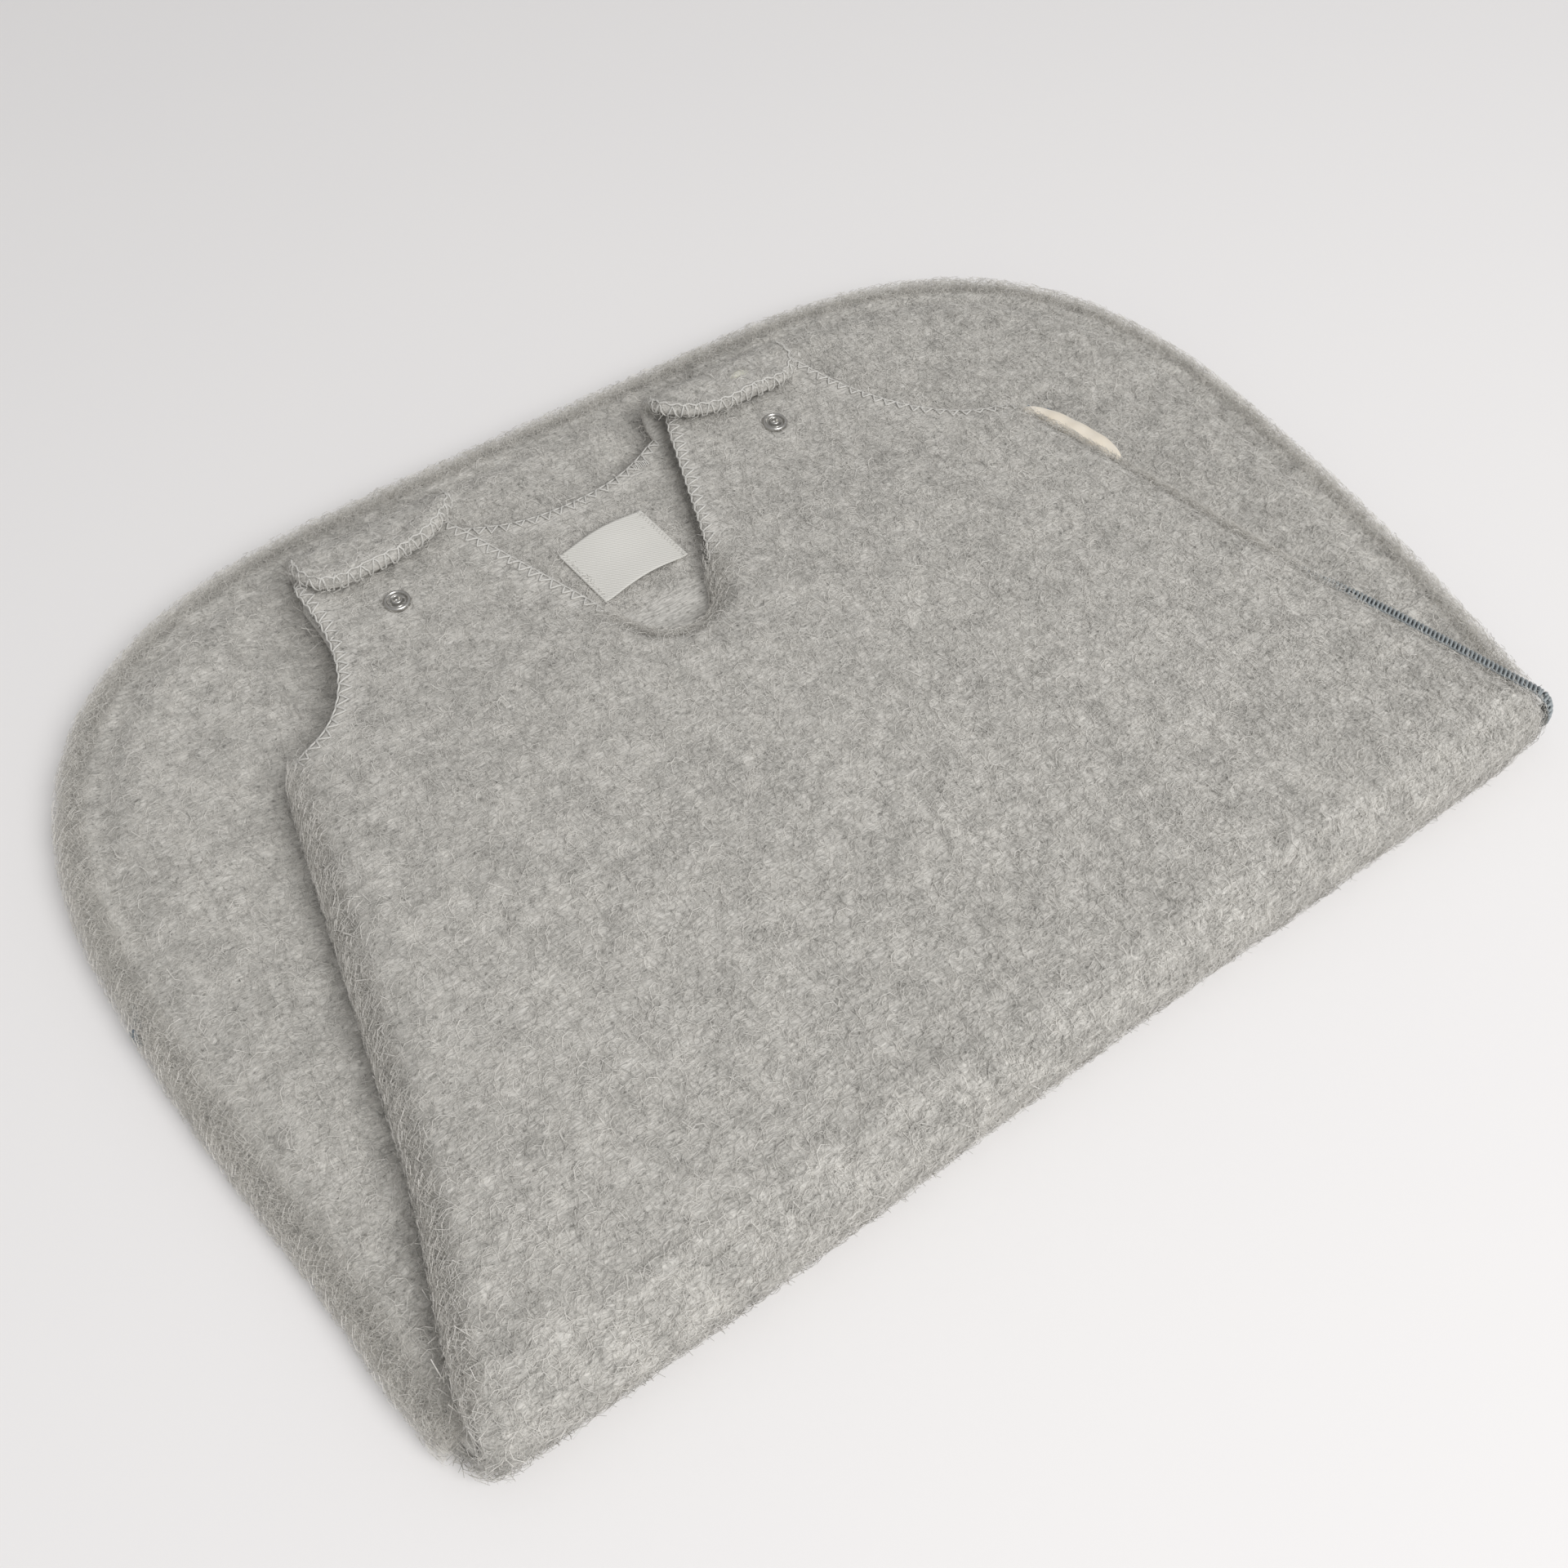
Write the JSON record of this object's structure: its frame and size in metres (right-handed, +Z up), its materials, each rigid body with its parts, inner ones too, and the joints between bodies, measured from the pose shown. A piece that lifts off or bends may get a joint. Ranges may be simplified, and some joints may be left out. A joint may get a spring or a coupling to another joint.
{
  "type": "baby sleeping bag",
  "caption": "Sleeveless wool-fleece baby sleeping bag, folded across its length, with snap-down shoulder straps, a side zip round the foot and a blank woven label.",
  "frame": {"origin": "on the table, below the middle of the folded bag's box", "axes": "+X across the bag, towards the zip side of the upper half; +Y from the fold towards the foot and the shoulders; +Z up"},
  "size_m": [0.4908, 0.3466, 0.0363],
  "materials": {
    "wool_fleece": "thick brushed wool fleece, grey melange",
    "edging_thread": "twisted sewing thread",
    "zip_tape": "woven polyester tape",
    "zip_coil": "nylon coil",
    "zip_metal": "painted zinc",
    "guard_cotton": "smooth cotton jersey",
    "label_weave": "woven twill",
    "snap_metal": "pressed nickel-plated brass",
    "snap_cap": "moulded, satin"
  },
  "bodies": {
    "lower_half": {"lower_front_panel": "wool_fleece", "lower_back_panel": "wool_fleece", "lower_left_seam": "wool_fleece", "lower_zip_front_tape": "zip_tape", "lower_zip_back_tape": "zip_tape", "lower_zip_front_coil": "zip_coil", "lower_zip_back_coil": "zip_coil", "zip_bottom_stop": "zip_metal", "front_fold": "wool_fleece", "back_fold": "wool_fleece", "fold_left_seam": "wool_fleece", "fold_zip_tapes": "zip_tape", "fold_zip_coils": "zip_coil"},
    "upper_half": {"upper_front_panel": "wool_fleece", "upper_back_panel": "wool_fleece", "upper_left_seam": "wool_fleece", "upper_zip_front_tape": "zip_tape", "upper_zip_back_tape": "zip_tape", "upper_zip_front_coil": "zip_coil", "upper_zip_back_coil": "zip_coil", "zip_top_stops": "zip_metal", "zip_guard": "guard_cotton", "label": "label_weave", "neck_bar_tack": "edging_thread", "front_neck_edging": "edging_thread", "back_neck_edging": "edging_thread", "left_armhole_edging": "edging_thread", "right_armhole_edging": "edging_thread", "left_studs": "snap_metal", "right_studs": "snap_metal", "left_stud_rings": "snap_metal", "right_stud_rings": "snap_metal", "left_strap_bend": "wool_fleece", "right_strap_bend": "wool_fleece"},
    "left_strap": {"left_strap": "wool_fleece", "left_strap_edging": "edging_thread", "left_socket": "snap_metal", "left_cap": "snap_cap"},
    "right_strap": {"right_strap": "wool_fleece", "right_strap_edging": "edging_thread", "right_socket": "snap_metal", "right_cap": "snap_cap"},
    "zip_slider": {"zip_slider": "zip_metal"},
    "zip_pull": {"zip_pull": "zip_metal"}
  },
  "joints": [
    {"name": "fold", "type": "hinge", "parent": "lower_half", "child": "upper_half", "pos_m": [0, -0.1591, 0.0142], "axis": [1, 0, 0], "range_deg": [0, 178], "deforming": ["front_fold", "back_fold", "fold_left_seam", "fold_zip_tapes", "fold_zip_coils"]},
    {"name": "left_strap_flip", "type": "hinge", "parent": "upper_half", "child": "left_strap", "pos_m": [-0.093, 0.1389, 0.02475], "axis": [-1, 0, 0], "range_deg": [0, 165], "deforming": ["left_strap_bend"]},
    {"name": "right_strap_flip", "type": "hinge", "parent": "upper_half", "child": "right_strap", "pos_m": [0.059, 0.1389, 0.02475], "axis": [-1, 0, 0], "range_deg": [0, 165], "deforming": ["right_strap_bend"]},
    {"name": "slider_travel", "type": "slide", "parent": "upper_half", "child": "zip_slider", "axis": [0.2541, -0.9672, 0], "range_m": [0, 0.18]},
    {"name": "pull_swing", "type": "hinge", "parent": "zip_slider", "child": "zip_pull", "pos_m": [0.16419, 0.04456, 0.0214], "axis": [0, 0, 1], "range_deg": [0, 170]}
  ]
}
